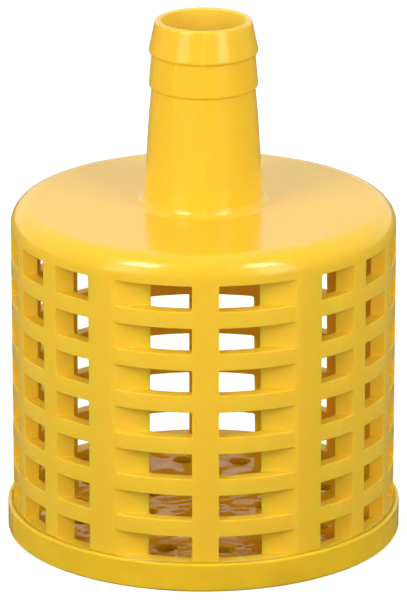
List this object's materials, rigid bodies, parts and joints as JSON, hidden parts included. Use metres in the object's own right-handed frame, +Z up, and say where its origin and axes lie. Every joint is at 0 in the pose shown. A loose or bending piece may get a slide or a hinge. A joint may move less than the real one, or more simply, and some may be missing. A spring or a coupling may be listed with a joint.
{
  "type": "foot valve",
  "caption": "Foot valve for a suction hose: barbed hose tail, flat-topped strainer basket with rows of windows, perforated base cap, sprung poppet inside.",
  "frame": {"origin": "centre of the base, on the plane that the valve stands on", "axes": "+Z up along the hose tail's axis; the mould parting plane is x = 0, so the two wide ribs face -Y and +Y"},
  "size_m": [0.0988, 0.0988, 0.1316],
  "materials": {
    "yellow_plastic": "glossy",
    "base_plastic": "glossy",
    "inner_plastic": "satin",
    "stainless": "satin",
    "bush_brass": "satin",
    "seal_rubber": "matte"
  },
  "bodies": {
    "housing": {"strainer_body": "yellow_plastic", "base_cap": "base_plastic", "valve_seat": "inner_plastic", "seat_gasket": "seal_rubber", "seat_screws": "stainless", "stem_bush": "bush_brass", "upper_guide": "inner_plastic", "closing_spring": "stainless"},
    "poppet": {"poppet_disc": "inner_plastic", "poppet_stem": "stainless", "poppet_seal": "seal_rubber", "seal_plate": "stainless", "lock_washer": "stainless", "stem_nut": "stainless"}
  },
  "joints": [
    {"name": "poppet_lift", "type": "slide", "parent": "housing", "child": "poppet", "axis": [0, 0, 1], "range_m": [0, 0.0055], "stiffness_N_per_m": 120, "springref_m": -0.006, "deforming": ["closing_spring"]}
  ]
}
